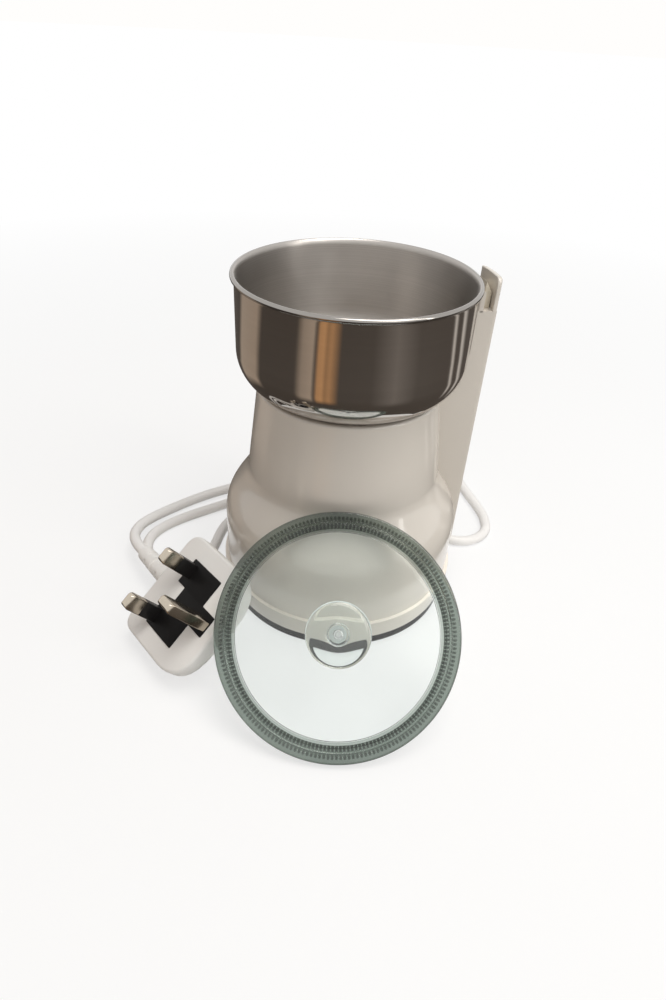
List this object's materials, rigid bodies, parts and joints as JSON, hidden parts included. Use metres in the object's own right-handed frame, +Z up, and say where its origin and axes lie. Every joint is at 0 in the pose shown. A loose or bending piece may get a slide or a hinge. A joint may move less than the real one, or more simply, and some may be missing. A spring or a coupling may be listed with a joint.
{
  "type": "electric coffee grinder",
  "caption": "Small electric coffee grinder: waisted white body, open steel bowl with a spinning blade, side switch column, loose clear lid leaning on it, and a mains lead with plug.",
  "frame": {"origin": "on the axis of the bowl and the motor, on the underside of the rubber pad that it stands on", "axes": "+Z up along the motor's axis, -Y to the front where the lid leans, +X to the side of the switch column"},
  "size_m": [0.1815, 0.2251, 0.1415],
  "materials": {
    "white_plastic": "glossy moulded plastic",
    "cream_plastic": "satin moulded plastic",
    "black_plastic": "satin moulded plastic",
    "pad_rubber": "matt rubber",
    "bowl_steel": "polished outside, satin inside",
    "blade_steel": "ground steel",
    "zinc_steel": "bright zinc",
    "core_steel": "stacked laminations",
    "copper_wire": "enamelled winding wire",
    "brass": "turned brass",
    "bracket_alloy": "cast",
    "fan_plastic": "satin moulded plastic",
    "holder_resin": "moulded resin",
    "carbon": "pressed carbon",
    "red_plastic": "satin moulded plastic",
    "clear_plastic": "clear moulded plastic",
    "flex": "smooth flexible sheath",
    "tie_paper": "coated wire tie",
    "ceramic": "fired ceramic with metal caps"
  },
  "bodies": {
    "housing": {"base_pad": "pad_rubber", "base_plate": "black_plastic", "base_screws": "zinc_steel", "body_shell": "white_plastic", "switch_column": "white_plastic", "column_screws": "zinc_steel", "bowl": "bowl_steel", "bearing_bush": "brass", "bush_nut": "zinc_steel", "lower_bearing": "brass", "lower_bracket": "bracket_alloy", "bracket_dampers": "pad_rubber", "bracket_screws": "zinc_steel", "stator_core": "core_steel", "stator_coils": "copper_wire", "stator_spacers": "zinc_steel", "stator_screws": "zinc_steel", "brush_holders": "holder_resin", "carbon_brushes": "carbon", "switch_body": "black_plastic", "switch_terminals": "brass", "cord_gland": "white_plastic", "plug_body": "white_plastic", "plug_insert": "black_plastic", "live_pin": "brass", "neutral_pin": "brass", "earth_pin": "brass", "live_sleeve": "black_plastic", "neutral_sleeve": "black_plastic", "plug_fuse": "ceramic", "plug_boot": "white_plastic", "mains_lead": "flex", "cord_tie": "tie_paper"},
    "rotor": {"motor_shaft": "zinc_steel", "rotor_core": "core_steel", "rotor_windings": "copper_wire", "commutator": "copper_wire", "cooling_fan": "fan_plastic", "blade": "blade_steel", "blade_nut": "zinc_steel"},
    "switch_rod": {"switch_rod": "cream_plastic"},
    "switch_plunger": {"switch_plunger": "red_plastic"},
    "lid": {"lid_cover": "clear_plastic", "lid_knob": "clear_plastic", "knob_screw": "zinc_steel"}
  },
  "joints": [
    {"name": "blade_spin", "type": "hinge", "parent": "housing", "child": "rotor", "pos_m": [0, 0, 0.06], "axis": [0, 0, 1], "continuous": true},
    {"name": "switch_press", "type": "slide", "parent": "housing", "child": "switch_rod", "axis": [0, 0, -1], "range_m": [0, 0.003], "stiffness_N_per_m": 300, "springref_m": -0.002},
    {"name": "plunger_press", "type": "slide", "parent": "housing", "child": "switch_plunger", "axis": [0, 0, -1], "range_m": [0, 0.003]},
    {"name": "lid_lift", "type": "slide", "parent": "housing", "child": "lid", "axis": [0.006, -0.6896, 0.7242], "range_m": [0, 0.12]}
  ],
  "couplings": [
    {"joint": "plunger_press", "follows": "switch_press", "ratio": 1}
  ]
}
